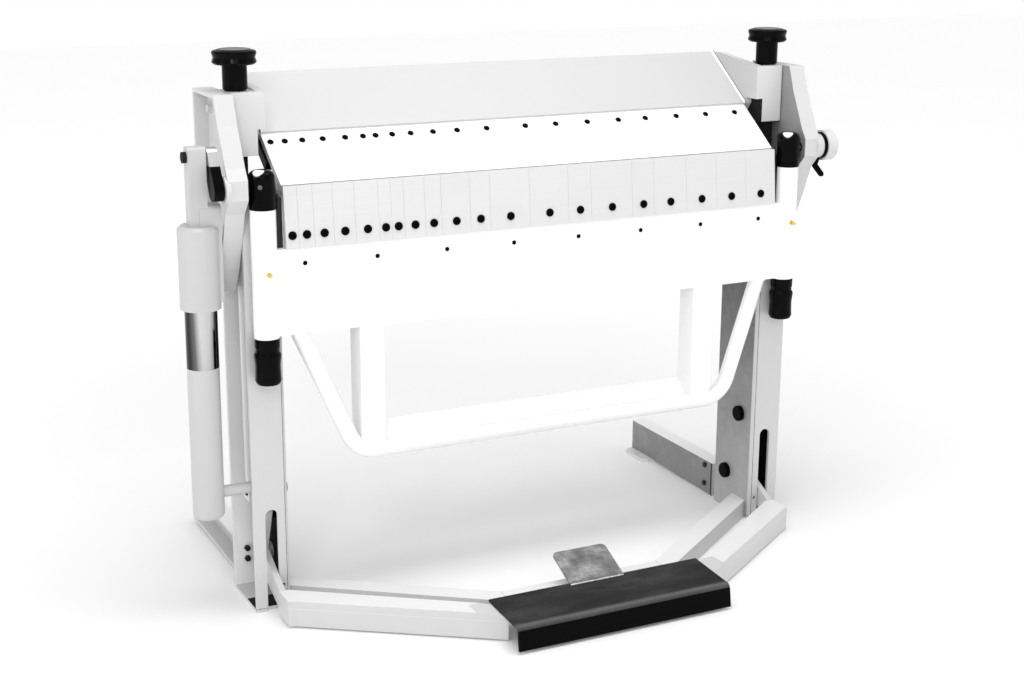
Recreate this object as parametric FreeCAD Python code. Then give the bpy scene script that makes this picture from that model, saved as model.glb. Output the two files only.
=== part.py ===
import FreeCAD, Part
import math
import os

# Foot-operated box and pan brake, 1260 mm working length, in millimetres.
# While it is drawn, X runs along the machine with 0 in the middle, Y is 0 on the
# bending axis and grows to the back, and Z is 0 on the floor. At the end every
# piece is moved in X and Y so that the origin is under the middle of the machine.

V = FreeCAD.Vector
GAP = 0.05                      # radial clearance of every running fit
TOUCH = 0.5                     # air left between faces that pass each other

# Working length and its segments, left to right, the same above and on the apron
SEGMENT_WIDTHS = [30, 35, 45, 50, 55, 30, 30, 50, 40, 70,
                  50, 100, 100, 60, 110, 60, 90, 85, 85, 85]
SEGMENT_GAP = 0.4
WORK = sum(SEGMENT_WIDTHS)
BEND_Z = 979                    # height of the bending axis and of the bed's top

# Stands, side plates and rails
PLATE = 8                       # sheet that the stands and rails are bent from
STAND_IN, STAND_OUT = 627, 710  # inboard web face and outboard flange edges
STAND_FRONT, STAND_REAR = 30, 198
STAND_TOP = 935
SLOT_X, SLOT_W, SLOT_HIGH = 668, 30, 243
SOLE = 8                        # plate that closes a stand's foot
SIDE_IN, SIDE_OUT, SIDE_WEB = 710, 753, 12
LEFT_BOSS_OUT = 758
SIDE_REAR, SIDE_TOP, SIDE_FOOT = 215, 1171, 740
HUB_R, SHAFT_R = 20, 12
RAIL_IN, RAIL_W, RAIL_TOP, RAIL_START, RAIL_END = 636, 44, 93, 216, 640
RAIL_BOLTS = 252, (28, 80)      # Y and Z of the bolts that hold it to the tongue
PAD_IN, PAD_OUT, PAD_FRONT, PAD_REAR, PAD_T = 606, 664, 528, 640, 10
ANCHOR_X, ANCHOR_Y, ANCHOR_R = 622, 584, 7

# Clamping linkage in the stands: pedal lever on the lower pin, clamp lever on the
# upper one. Pedal up turns the clamp lever the other way and lifts the beam.
LOW_PIN, HIGH_PIN = (139, 103), (86, 276)       # (Y, Z)
PIN_R, CAP_R, CAP_T = 12, 20, 12
PEDAL_SWING = 20                # degrees
HORN_R = 135                    # from the low pin to the horn's driving pin
LIFT = 35                       # stroke of the clamping beam
CLAMP_X, CLAMP_T = 638, 14
LEVER_X, LEVER_T = 655, 14
ROD_X, ROD_Y, ROD_R, SLEEVE_R = 685.5, 121, 11, 21.5

# Clamping beam and fingers
SLOPE = 36                      # degrees, fingers and panel
NOSE_Y, NOSE_T, SHEET = 3, 1, 1
FINGER_L, FINGER_T = 158, 14
FINGER_SCREW_S = 130            # slope distance from the nose to the screws
CLAMP_RAIL = (82, 36)           # where it starts along the slope, and its depth
PANEL_END_S, PANEL_RISE, PANEL_T = 350, 5, 10     # its end on the slope, its height above it
BOX_Y, BOX_FLOOR, CHEEK_LOW, CHEEK_TOP = 205, 1085, 1091, 1190
BEAM_X, END_T = 632, 19
BLOCK = (651, 709, 82, 160, 1034, 1171)
KNOB_NECK_R, KNOB_R, KNOB_DISC_Z, KNOB_TOP = 27, 48.5, 1226, 1260
SLEEVE_LOW, CROWN_T = 940, 12

# Pedal
TREAD_HALF, TREAD_T = 271, 5
TREAD_REAR, TREAD_REAR_Z, TREAD_NOSE, TREAD_NOSE_Z = -270, 68.7, -411, 59.7
TREAD_FOOT = (-424, 7.5)
TAB_HALF, TAB_TOP = 69, 112.1

# Apron
TUBE_X, TUBE_Y, TUBE_R, TUBE_LOW, TUBE_HIGH = 674, -3, 28, 653, 934
GUIDE_R, DOME_R, DOME_TOP = 15, 29, 1018
BAR_FACE = [(-0.5, 979), (-9, 979), (-22, 846), (-0.5, 846)]
PLATE_FRONT, PLATE_BACK, PLATE_LOW, PLATE_HIGH = -14.5, -2, 655, 845.5
BACK_BAR = (0, 14, 800, 955)    # Y and Z limits of the bar behind the segments
SCREW_Z, SMALL_SCREW_Z = 874.5, 811.5
HANDLE_R, HANDLE_BEND, HANDLE_Z = 19, 70, 361.5
HANDLE_TOP_X, HANDLE_LOW_LEFT, HANDLE_LOW_RIGHT = 600, 470, 505
STRUT = (407, 463, -14, 48)
STRUT_FOOT_Y, STRUT_TOP = 22, 760    # the flat end welded to the back of the plate

# Stop on the right end of the hinge
BOSS_R, STOP_R = 30, 37.5
BOSS_OUT, RING_OUT, STOP_OUT = 766, 774, 803

# Counterbalance on the left, drawn upright over its foot pin and then leaned
UNIT_X, FOOT_PIN, CRANK_PIN = -804, (52, 297), (38, 1048)
SPRING_TUBE_R, SPRING_TUBE_LOW, SPRING_TUBE_TOP = 35, 242, 735
BELL_R, BELL_LOW, BELL_TOP = 44, 722, 903
CRANK_IN, CRANK_OUT, CRANK_R = -760, -782, 22
PISTON_TOP = 420


def turned(point, degrees, centre):
    """A (Y, Z) point turned about -X, the way that the apron and pedal rise."""
    a = math.radians(degrees)
    y, z = point[0] - centre[0], point[1] - centre[1]
    return (centre[0] + y * math.cos(a) + z * math.sin(a),
            centre[1] - y * math.sin(a) + z * math.cos(a))


def slope_point(s, t):
    """Point on the fingers' section: s along the slope, t below its top face."""
    a = math.radians(SLOPE)
    return (NOSE_Y + s * math.cos(a) + t * math.sin(a),
            BEND_Z + SHEET + NOSE_T + s * math.sin(a) - t * math.cos(a))


def face(points):
    return Part.Face(Part.makePolygon(points + points[:1]))


def along_x(section, x0, x1):
    """Solid from a closed (Y, Z) outline between two X values."""
    return face([V(x0, y, z) for y, z in section]).extrude(V(x1 - x0, 0, 0))


def along_y(section, y0, y1):
    return face([V(x, y0, z) for x, z in section]).extrude(V(0, y1 - y0, 0))


def along_z(section, z0, z1):
    return face([V(x, y, z0) for x, y in section]).extrude(V(0, 0, z1 - z0))


def box(x0, x1, y0, y1, z0, z1):
    return Part.makeBox(x1 - x0, y1 - y0, z1 - z0, V(x0, y0, z0))


def rod_x(x0, x1, y, z, r):
    return Part.makeCylinder(r, x1 - x0, V(x0, y, z), V(1, 0, 0))


def rod_y(y0, y1, x, z, r):
    return Part.makeCylinder(r, y1 - y0, V(x, y0, z), V(0, 1, 0))


def rod_z(z0, z1, x, y, r):
    return Part.makeCylinder(r, z1 - z0, V(x, y, z0), V(0, 0, 1))


def turning(profile, x, y):
    """Solid of revolution about the upright line at x, y from (radius, Z) points."""
    points = [V(x + r, y, z) for r, z in profile]
    return face(points).revolve(V(x, y, 0), V(0, 0, 1), 360)


def hexagon(u, v, across):
    """Corners of a hexagonal bolt head round a point of its plane."""
    corner = across / math.sqrt(3)
    turns = [math.radians(60 * i) for i in range(6)]
    return [(u + corner * math.cos(a), v + corner * math.sin(a)) for a in turns]


def fused(shapes):
    shape = shapes[0].multiFuse(shapes[1:]) if len(shapes) > 1 else shapes[0]
    return shape.removeSplitter()


def rounded(shape, radius, wanted):
    """The shape with a radius on the edges that the test picks."""
    edges = [e for e in shape.Edges if wanted(e)]
    return shape.makeFillet(radius, edges)


def bevelled(shape, width, wanted):
    """The shape with a 45 degree bevel on the edges that the test picks."""
    return shape.makeChamfer(width, [e for e in shape.Edges if wanted(e)])


def mirrored(shape):
    return shape.mirror(V(0, 0, 0), V(1, 0, 0))


def upright_at(*places):
    """Test for upright edges at the given (X, Y) places."""
    def wanted(edge):
        bb = edge.BoundBox
        if bb.ZLength < 9 or bb.XLength > 0.01 or bb.YLength > 0.01:
            return False
        return any(abs(bb.XMin - x) < 0.1 and abs(bb.YMin - y) < 0.1 for x, y in places)
    return wanted


def lying_at(*places):
    """Test for edges along X at the given (Y, Z) places."""
    def wanted(edge):
        bb = edge.BoundBox
        if bb.XLength < 5 or bb.YLength > 0.01 or bb.ZLength > 0.01:
            return False
        return any(abs(bb.YMin - y) < 0.1 and abs(bb.ZMin - z) < 0.1 for y, z in places)
    return wanted


def stand(left):
    """Upright channel, web inboard, with the lever's slot, the pin holes and a sole."""
    shape = box(STAND_IN, STAND_OUT, STAND_FRONT, STAND_REAR, 0, STAND_TOP)
    shape = rounded(shape, 10, upright_at((STAND_IN, STAND_FRONT), (STAND_IN, STAND_REAR)))
    inner = box(STAND_IN + PLATE, STAND_OUT + 1, STAND_FRONT + PLATE, STAND_REAR - PLATE,
                -1, STAND_TOP + 1)
    corners = [(STAND_IN + PLATE, STAND_FRONT + PLATE), (STAND_IN + PLATE, STAND_REAR - PLATE)]
    shape = shape.cut(rounded(inner, 3, upright_at(*corners)))
    half = SLOT_W / 2
    slot = box(SLOT_X - half, SLOT_X + half, STAND_FRONT - 1, STAND_FRONT + PLATE + 1,
               -1, SLOT_HIGH - half)
    crown = rod_y(STAND_FRONT - 1, STAND_FRONT + PLATE + 1, SLOT_X, SLOT_HIGH - half, half)
    shape = shape.cut(slot.fuse(crown))
    shape = shape.cut(rod_y(STAND_FRONT - 1, STAND_FRONT + PLATE + 1, SLOT_X - 24, 58, 4))
    shape = shape.fuse(box(STAND_IN + 4, STAND_OUT, STAND_FRONT + PLATE, STAND_REAR - PLATE,
                           0, SOLE))
    for y, z in (LOW_PIN, HIGH_PIN):
        shape = shape.cut(rod_x(STAND_IN - 1, STAND_IN + PLATE + 1, y, z, PIN_R + GAP))
    if left:
        foot = rod_x(STAND_IN - 1, STAND_IN + PLATE + 1, *FOOT_PIN, 13 + GAP)
        shape = mirrored(shape.cut(foot))
    return shape.removeSplitter()


def side_plate(left):
    """Dished plate round the beam's end: web, flange all round but the foot, hub."""
    outline = [(57, SIDE_TOP), (34, 1108), (13, 1066), (-7, 1025), (-24, 1000), (-24, 958),
               (6, 925), (29, 863), (58, 799), (90, SIDE_FOOT), (SIDE_REAR, SIDE_FOOT),
               (SIDE_REAR, SIDE_TOP)]
    shape = along_x(outline, SIDE_IN, SIDE_OUT)
    wire = Part.makePolygon([V(SIDE_IN + SIDE_WEB, y, z) for y, z in outline + outline[:1]])
    pocket = Part.Face(wire.makeOffset2D(-PLATE)).extrude(V(SIDE_OUT, 0, 0))
    shape = shape.cut(pocket)
    hub = rod_x(SIDE_IN, SIDE_OUT, 0, BEND_Z, HUB_R)
    out = LEFT_BOSS_OUT if left else BOSS_OUT
    boss = rod_x(SIDE_OUT - 6, out, 0, BEND_Z, BOSS_R)
    shape = fused([shape, hub, boss])
    shape = shape.cut(rod_x(SIDE_IN - 1, out + 1, 0, BEND_Z, SHAFT_R + GAP))
    return mirrored(shape) if left else shape


def bed_beam():
    """Closed box under the bed, welded between the stands."""
    outer = box(-STAND_IN, STAND_IN, 26, 186, 700, 964)
    inner = box(-STAND_IN - 1, STAND_IN + 1, 34, 178, 708, 956)
    return outer.cut(inner)


def bed_blade():
    """Hardened plate that the sheet lies on, with its front edge on the axis."""
    section = [(TOUCH, BEND_Z), (150, BEND_Z), (150, 964), (12, 964), (TOUCH, 974)]
    return along_x(section, -WORK / 2 + 3.5, WORK / 2 - 3.5)


def rear_rail(left):
    """Channel foot behind a stand, its underside rising to the pad."""
    low, high = PAD_T + PLATE, RAIL_TOP - PLATE
    section = [(RAIL_START, 1), (PAD_FRONT, PAD_T), (RAIL_END, PAD_T), (RAIL_END, RAIL_TOP),
               (RAIL_START, RAIL_TOP)]
    shape = along_x(section, RAIL_IN, RAIL_IN + RAIL_W)
    hollow = [(RAIL_START - 1, 1 + PLATE), (PAD_FRONT, low), (RAIL_END + 1, low),
              (RAIL_END + 1, high), (RAIL_START - 1, high)]
    shape = shape.cut(along_x(hollow, RAIL_IN + PLATE, RAIL_IN + RAIL_W + 1))
    y, heights = RAIL_BOLTS
    tongue = box(RAIL_IN + PLATE, RAIL_IN + 2 * PLATE, STAND_REAR, y + 20, 14, high)
    shape = fused([shape, tongue])
    for z in heights:
        shape = shape.cut(rod_x(RAIL_IN - 1, RAIL_IN + PLATE, y, z, 4 + GAP))
    return mirrored(shape) if left else shape


def foot_pads():
    """Two pads with cut corners, each with a hole for a floor anchor."""
    shape = box(PAD_IN, PAD_OUT, PAD_FRONT, PAD_REAR, 0, PAD_T)
    corners = [(x, y) for x in (PAD_IN, PAD_OUT) for y in (PAD_FRONT, PAD_REAR)]
    shape = bevelled(shape, 15, upright_at(*corners))
    shape = shape.cut(rod_z(-1, PAD_T + 1, ANCHOR_X, ANCHOR_Y, ANCHOR_R))
    return Part.makeCompound([shape, mirrored(shape)])


def front_frame():
    """Fixed bars from the stands' inboard faces to a cross bar under the tread."""
    top = 46
    side = [(STAND_IN, 49), (STAND_IN, 110), (205, -196), (205, -246), (240, -232)]
    right = along_z(side, 0, top)
    cross = box(-206, 206, -246, -196, 0, top)
    return fused([cross, right, mirrored(right)])


def frame_bolts():
    """Bolt heads of the rails, of the stands' rear flanges and of the side plates."""
    heads = []
    y, heights = RAIL_BOLTS
    for z in heights:
        head = along_x(hexagon(y, z, 13), RAIL_IN - 5, RAIL_IN)
        heads.append(fused([head, rod_x(RAIL_IN - 1, RAIL_IN + PLATE, y, z, 4)]))
    web, flange = SIDE_IN + SIDE_WEB, STAND_REAR - PLATE
    for y, z, across in ((185, 1128, 17), (104, 790, 13)):
        washer = rod_x(web, web + 2, y, z, across * 0.75)
        heads.append(fused([washer, along_x(hexagon(y, z, across), web + 1, web + 9)]))
    for z in (70, 96):
        heads.append(along_y(hexagon(679, z, 13), flange - 8, flange))
    return Part.makeCompound(heads + [mirrored(head) for head in heads])


def pivot_pins():
    """Capped pins of both levers in each stand, with a ring behind each lever."""
    pins = []
    for (y, z), plate_end in ((LOW_PIN, LEVER_X + LEVER_T), (HIGH_PIN, CLAMP_X + CLAMP_T)):
        ring = plate_end + 0.3
        cap = rod_x(STAND_IN - CAP_T, STAND_IN, y, z, CAP_R)
        cap = bevelled(cap, 2.5, lambda e: abs(e.BoundBox.XMax - STAND_IN + CAP_T) < 0.1)
        shank = rod_x(STAND_IN - 1, ring + 2.2, y, z, PIN_R)
        collar = rod_x(ring, ring + 2.2, y, z, PIN_R + 4)
        pins.append(fused([cap, shank, collar]))
    return Part.makeCompound(pins + [mirrored(p) for p in pins])


def upper_beam():
    """Closed box of the clamping beam with its end plates and spindle blocks."""
    panel_low, panel_high = [slope_point(s, -PANEL_RISE) for s in (FINGER_L, PANEL_END_S)]
    rail_corner = slope_point(FINGER_L, CLAMP_RAIL[1])
    floor = [(panel_high[0], BOX_FLOOR), (BOX_Y, rail_corner[1]), rail_corner]
    section = [panel_low, panel_high] + floor
    outer = along_x(section, -BEAM_X, BEAM_X)
    wire = Part.makePolygon([V(-BEAM_X - 1, y, z) for y, z in section + section[:1]])
    hollow = Part.Face(wire.makeOffset2D(-PANEL_T)).extrude(V(2 * BEAM_X + 2, 0, 0))
    x0, x1, y0, y1, z0, z1 = BLOCK
    cheek = [(y0, CHEEK_LOW), (y0, z1), (140, z1 + 6), (240, CHEEK_TOP),
             (panel_high[0], CHEEK_TOP)] + floor + [panel_low, (129, CHEEK_LOW)]
    end = along_x(cheek, BEAM_X, BEAM_X + END_T)
    block = rounded(box(*BLOCK), 4, upright_at((x1, y0), (x1, y1)))
    bore = rod_z(z0 - 1, z1 + 1, ROD_X, ROD_Y, ROD_R + GAP)
    side = end.fuse(block).cut(bore)
    return fused([outer.cut(hollow), side, mirrored(side)])


def segment_edges():
    """Left and right X of every segment."""
    edges, x = [], -WORK / 2
    for width in SEGMENT_WIDTHS:
        edges.append((x + SEGMENT_GAP / 2, x + width - SEGMENT_GAP / 2))
        x += width
    return edges


def slope_rod(x, s, t0, t1, r):
    """Cylinder square to the fingers' slope between two depths."""
    top, low = slope_point(s, t0), slope_point(s, t1)
    way = V(0, low[0] - top[0], low[1] - top[1])
    return Part.makeCylinder(r, way.Length, V(x, *top), way)


def clamp_rail():
    """Black bar under the fingers' upper half, which their screws pull them against."""
    start, depth = CLAMP_RAIL
    corners = [(start, FINGER_T), (FINGER_L, FINGER_T), (FINGER_L, depth), (start, depth)]
    return along_x([slope_point(s, t) for s, t in corners], -636, 636)


def finger(x0, x1):
    """One wedge-nosed finger with its screw hole."""
    low = BEND_Z + SHEET
    under = [slope_point(s, FINGER_T) for s in (FINGER_L, 0)]
    reach = (low - under[1][1]) / (under[0][1] - under[1][1])
    heel = under[1][0] + reach * (under[0][0] - under[1][0])
    section = [(NOSE_Y, low), slope_point(0, 0), slope_point(FINGER_L, 0), under[0], (heel, low)]
    shape = along_x(section, x0, x1)
    return shape.cut(slope_rod((x0 + x1) / 2, FINGER_SCREW_S, -1, FINGER_T + 1, 5.5))


def finger_screws():
    """Low button heads, one in the middle of each finger."""
    screws = []
    for x0, x1 in segment_edges():
        x = (x0 + x1) / 2
        head = slope_rod(x, FINGER_SCREW_S, -3.5, 0, 7)
        shank = slope_rod(x, FINGER_SCREW_S, -1, FINGER_T, 5)
        screws.append(fused([head, shank]))
    return Part.makeCompound(screws)


def clamp_lever_angles():
    """Half swing of the clamp lever and its arm to the tie rod's pin."""
    span = math.hypot(LOW_PIN[0] - HIGH_PIN[0], LOW_PIN[1] - HIGH_PIN[1])
    half = math.radians(PEDAL_SWING / 2)
    side = HORN_R * math.sin(half)
    ahead = span - HORN_R * math.cos(half)
    swing = math.atan2(side, ahead)
    return swing, LIFT / (2 * math.sin(swing)), math.hypot(side, ahead), span


def horn_pin():
    """Where the pedal lever's driving pin is while the pedal is down."""
    span = clamp_lever_angles()[3]
    middle = (LOW_PIN[0] + (HIGH_PIN[0] - LOW_PIN[0]) * HORN_R / span,
              LOW_PIN[1] + (HIGH_PIN[1] - LOW_PIN[1]) * HORN_R / span)
    return turned(middle, -PEDAL_SWING / 2, LOW_PIN)


def rod_pin():
    """Where the clamp lever's pin in the tie rod is while the beam is down."""
    swing, arm = clamp_lever_angles()[:2]
    return (HIGH_PIN[0] + arm * math.cos(swing), HIGH_PIN[1] - arm * math.sin(swing))


def strap(a, ra, b, rb, x0, x1):
    """Plate with round ends of two radii at the (Y, Z) points a and b."""
    dy, dz = b[0] - a[0], b[1] - a[1]
    length = math.hypot(dy, dz)
    lean = math.asin((ra - rb) / length)
    along = math.atan2(dz, dy)
    corners = []
    for centre, r in ((a, ra), (b, rb)):
        for side in (1, -1):
            angle = along + side * (math.pi / 2 - lean)
            corners.append((centre[0] + r * math.cos(angle), centre[1] + r * math.sin(angle)))
    middle = along_x([corners[0], corners[2], corners[3], corners[1]], x0, x1)
    return fused([middle, rod_x(x0, x1, *a, ra), rod_x(x0, x1, *b, rb)])


def tie_rods():
    """Spindles that carry the beam: threaded top, sleeve, and slotted foot."""
    y, z = rod_pin()
    top = rod_z(BLOCK[4], KNOB_TOP - CROWN_T - 2, ROD_X, ROD_Y, ROD_R)
    sleeve = rod_z(SLEEVE_LOW, BLOCK[4], ROD_X, ROD_Y, SLEEVE_R)
    rod = rod_z(z + 20, SLEEVE_LOW, ROD_X, ROD_Y, ROD_R)
    foot = box(ROD_X - 9.5, ROD_X + 9.5, y - 18, y + 21, z - 18, z + 22)
    foot = rounded(foot, 6, lambda e: e.BoundBox.XLength > 18)
    slot = box(ROD_X - 20, ROD_X + 20, y - 9, y + 12, z - 7.5, z + 7.5)
    rod = fused([top, sleeve, rod, foot]).cut(slot)
    return Part.makeCompound([rod, mirrored(rod)])


def clamp_knob(left):
    """Black knob on top of a spindle: round foot, neck and waisted disc."""
    r, z = KNOB_NECK_R, SIDE_TOP + TOUCH
    rim, low, top = KNOB_R, KNOB_DISC_Z, KNOB_TOP
    profile = [(0, z), (r - 4, z), (r, z + 4), (r, low), (rim - 5, low + 2), (rim, low + 6),
               (rim - 3.5, low + 16), (rim, low + 26), (rim - 4, top - 4), (20, top), (0, top)]
    shape = turning(profile, ROD_X, ROD_Y)
    shape = shape.cut(rod_z(z - 1, KNOB_TOP - CROWN_T, ROD_X, ROD_Y, ROD_R + GAP))
    return mirrored(shape) if left else shape


def pedal_bars():
    """Two bars from the pedal levers forward to the tread, cut under it."""
    outline = [(262, -352), (655, -84), (671, -78), (671, -16), (647, -16), (262, -290)]
    bar = along_z(outline, 4, 64)
    front, rear = -420, TREAD_REAR + 2
    above = along_x([(rear, tread_top(rear) - TREAD_T), (front, tread_top(front) - TREAD_T),
                     (front, 90), (rear, 90)], 200, 320)
    bar = bar.cut(above)
    return Part.makeCompound([bar, mirrored(bar)])


def tread_top(y):
    """Height of the tread's top face, which falls a little towards its nose."""
    return TREAD_REAR_Z + (y - TREAD_REAR) * (TREAD_REAR_Z - TREAD_NOSE_Z) / (
        TREAD_REAR - TREAD_NOSE)


def tread():
    """Angle plate under the foot, with a round nose and a leaning front flange."""
    nose, foot = TREAD_NOSE - 5, TREAD_FOOT
    inner = nose + TREAD_T + 1
    section = [(TREAD_REAR, TREAD_REAR_Z), (nose, tread_top(nose)), foot,
               (foot[0] + TREAD_T, foot[1]), (inner, tread_top(inner) - TREAD_T),
               (TREAD_REAR, TREAD_REAR_Z - TREAD_T)]
    shape = along_x(section, -TREAD_HALF, TREAD_HALF)
    shape = rounded(shape, 14, lying_at((nose, tread_top(nose))))
    return rounded(shape, 8, lying_at((inner, tread_top(inner) - TREAD_T)))


def toe_tab():
    """Bare plate standing up behind the tread, which the toe lifts."""
    front, rear = TREAD_REAR - 10, TREAD_REAR
    section = [(front, tread_top(front)), (rear, tread_top(rear)), (-184.4, 107.5),
               (-186.5, TAB_TOP), (-274, 73.6), (front - 1, tread_top(front) + 4)]
    shape = along_x(section, -TAB_HALF, TAB_HALF)

    def corner(edge):
        bb = edge.BoundBox
        return abs(bb.ZMax - TAB_TOP) < 0.1 and bb.XLength < 0.1 and 3 < bb.ZLength < 6
    return rounded(shape, 12, corner)


def pedal_levers():
    """Plates on the low pins: arm to the pedal bars, horn with its driving pin."""
    x0, x1 = LEVER_X, LEVER_X + LEVER_T
    pin = horn_pin()
    front = [(-16, 14), (-16, 62), (110, 128), (139, 78)]
    shapes = [along_x(front, x0, x1), rod_x(x0, x1, *LOW_PIN, 27),
              strap(LOW_PIN, 27, pin, 14, x0, x1),
              rod_x(STAND_IN + PLATE + 1, x0, *LOW_PIN, 19),
              rod_x(CLAMP_X + 1, x0, *pin, 7)]
    lever = fused(shapes).cut(rod_x(STAND_IN, x1 + 1, *LOW_PIN, PIN_R + GAP))
    return Part.makeCompound([lever, mirrored(lever)])


def clamp_levers():
    """Plates on the high pins: slotted horn for the driving pin, arm to the rod."""
    x0, x1 = CLAMP_X, CLAMP_X + CLAMP_T
    drive, pull = horn_pin(), rod_pin()
    far = clamp_lever_angles()[2]
    near = clamp_lever_angles()[3] - HORN_R
    way = ((drive[0] - HIGH_PIN[0]) / far, (drive[1] - HIGH_PIN[1]) / far)

    def at(distance):
        return (HIGH_PIN[0] + way[0] * distance, HIGH_PIN[1] + way[1] * distance)
    plate = fused([strap(HIGH_PIN, 24, at(far + 1), 17, x0, x1),
                   strap(HIGH_PIN, 24, pull, 13, x0, x1),
                   rod_x(x1 - 1, ROD_X + 12, *pull, 7)])
    slot = strap(at(near - 1), 8.5, at(far + 1), 8.501, x0 - 1, x1 + 1)
    plate = plate.cut(slot).cut(rod_x(x0 - 1, x1 + 1, *HIGH_PIN, PIN_R + GAP))
    return Part.makeCompound([plate, mirrored(plate)])


def screw_places():
    """Middle of every segment and of the row of small screws below."""
    large = [(x0 + x1) / 2 for x0, x1 in segment_edges()]
    small = [-586.7 + 167.6 * i for i in range(8)]
    return large, small


def bar_rod(x, out, inward, r):
    """Cylinder square to the leaning face of the apron's segments."""
    (y1, z1), (y0, z0) = BAR_FACE[1:3]
    y = y0 + (SCREW_Z - z0) * (y1 - y0) / (z1 - z0)
    n = V(0, z0 - z1, y1 - y0).normalize()
    base = V(x, y, SCREW_Z) + n * out
    return Part.makeCylinder(r, out + inward, base, n * -1)


def apron_frame():
    """Welded apron: end tubes on the guide rods, face plate and bar behind it."""
    y0, y1, z0, z1 = BACK_BAR
    section = [(PLATE_FRONT, PLATE_LOW), (PLATE_FRONT, PLATE_HIGH), (y0, PLATE_HIGH), (y0, z1),
               (y1, z1), (y1, z0), (PLATE_BACK, z0), (PLATE_BACK, PLATE_LOW)]
    middle = along_x(section, -640, 640)
    ends = box(-652, 652, y0, y1, z0, TUBE_HIGH - 4)
    plate = box(-655, 655, PLATE_FRONT, PLATE_BACK, PLATE_LOW, PLATE_HIGH)
    tubes = [rod_z(TUBE_LOW, TUBE_HIGH, x, TUBE_Y, TUBE_R) for x in (-TUBE_X, TUBE_X)]
    shape = fused([middle, ends, plate] + tubes)
    for x in (-TUBE_X, TUBE_X):
        shape = shape.cut(rod_z(TUBE_LOW - 1, TUBE_HIGH + 1, x, TUBE_Y, GUIDE_R + GAP))
        shape = shape.cut(rod_y(-40, -20, x, 797, 3.5 + GAP))
    return shape


def apron_segments():
    """Ground bars along the apron's top edge, one under each finger."""
    pieces = []
    for x0, x1 in segment_edges():
        piece = along_x(BAR_FACE, x0, x1)
        pieces.append(piece.cut(bar_rod((x0 + x1) / 2, 5, 40, 6.5)))
    return Part.makeCompound(pieces)


def apron_screws():
    """Large screws of the segments and the small row of the face plate."""
    large, small = screw_places()
    screws = [fused([bar_rod(x, 4, 0, 9.5), bar_rod(x, 1, 18, 6)]) for x in large]
    for x in small:
        screws.append(rod_y(PLATE_FRONT - 2.5, PLATE_FRONT, x, SMALL_SCREW_Z, 5))
    return Part.makeCompound(screws)


def handle_leg(side, low_x):
    """Top of a sloped leg, the start, middle and end of the bend at its foot."""
    corner, along = V(side * low_x, 0, HANDLE_Z), V(-side, 0, 0)
    rise = V(side * HANDLE_TOP_X, 0, PLATE_LOW) - corner
    up = V(rise).normalize()
    half_turn = math.acos(-up.dot(along)) / 2
    cut_back = HANDLE_BEND * math.tan(half_turn)
    depth = HANDLE_BEND / math.cos(half_turn) - HANDLE_BEND
    inward = (up + along).normalize()
    return (corner + rise * (1 + 20 / rise.z), corner + up * cut_back,
            corner + inward * depth, corner + along * cut_back)


def handle():
    """Bent tube under the apron, two box struts and the sloped plate between."""
    top, a, middle, b = handle_leg(1, HANDLE_LOW_RIGHT)
    top_left, a_left, middle_left, b_left = handle_leg(-1, HANDLE_LOW_LEFT)
    curves = [Part.LineSegment(top, a), Part.Arc(a, middle, b), Part.LineSegment(b, b_left),
              Part.Arc(b_left, middle_left, a_left), Part.LineSegment(a_left, top_left)]
    wire = Part.Wire([curve.toShape() for curve in curves])
    ring = Part.Wire(Part.makeCircle(HANDLE_R, top, top - a))
    tube = wire.makePipeShell([ring], True, False)
    tube = tube.cut(box(-800, 800, -60, 60, PLATE_LOW, PLATE_LOW + 80))
    x0, x1, y0, y1 = STRUT
    strut = box(x0, x1, y0, y1, HANDLE_Z, PLATE_LOW)
    strut = strut.fuse(box(x0, x1, PLATE_BACK, STRUT_FOOT_Y, PLATE_LOW - 1, STRUT_TOP))
    web = along_x([(0, 368), (5, 363), (y1, 409), (y1, 415), (43, 416)], -x0, x0)
    return fused([tube, strut, mirrored(strut), web])


def hinge_head(left):
    """Black domed head with its shaft in the hub and its guide rod in the tube."""
    dome = rod_z(TUBE_HIGH + TOUCH, DOME_TOP, TUBE_X, TUBE_Y, DOME_R)
    dome = rounded(dome, 17, lambda e: abs(e.BoundBox.ZMin - DOME_TOP) < 0.1)
    rod = rod_z(606, TUBE_HIGH + 2, TUBE_X, TUBE_Y, GUIDE_R)
    end = -CRANK_OUT if left else STOP_OUT - 6
    shaft = rod_x(TUBE_X, end, 0, BEND_Z, SHAFT_R)
    shape = fused([dome, rod, shaft])
    return mirrored(shape) if left else shape


def adjust_knob(left):
    """Black nut under a tube, with a collar, a groove and a flared grip."""
    top = TUBE_LOW - 0.4
    profile = [(0, 548), (22, 548), (29, 557), (27.5, 590), (30, 614), (26, 626),
               (27.5, 634), (27.5, top), (0, top)]
    shape = turning(profile, TUBE_X, TUBE_Y)
    shape = shape.cut(rod_z(592, top + 1, TUBE_X, TUBE_Y, GUIDE_R + GAP))
    return mirrored(shape) if left else shape


def grease_nipples():
    """Ball-headed nipple in the front of each tube."""
    front = TUBE_Y - TUBE_R
    shape = fused([rod_y(front - 4, front, TUBE_X, 797, 5),
                   rod_y(front - 9, front - 4, TUBE_X, 797, 3),
                   rod_y(front - 13, front - 9, TUBE_X, 797, 4),
                   rod_y(front - 1, -21, TUBE_X, 797, 3.5)])
    return Part.makeCompound([shape, mirrored(shape)])


def stop_disc():
    """Light disc on the right end of the hinge shaft."""
    shape = rod_x(RING_OUT + 0.3, STOP_OUT, 0, BEND_Z, STOP_R)
    shape = bevelled(shape, 2.5, lambda e: abs(e.BoundBox.XMin - STOP_OUT) < 0.1)
    return shape.cut(rod_x(RING_OUT - 1, STOP_OUT - 5, 0, BEND_Z, SHAFT_R + GAP))


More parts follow.
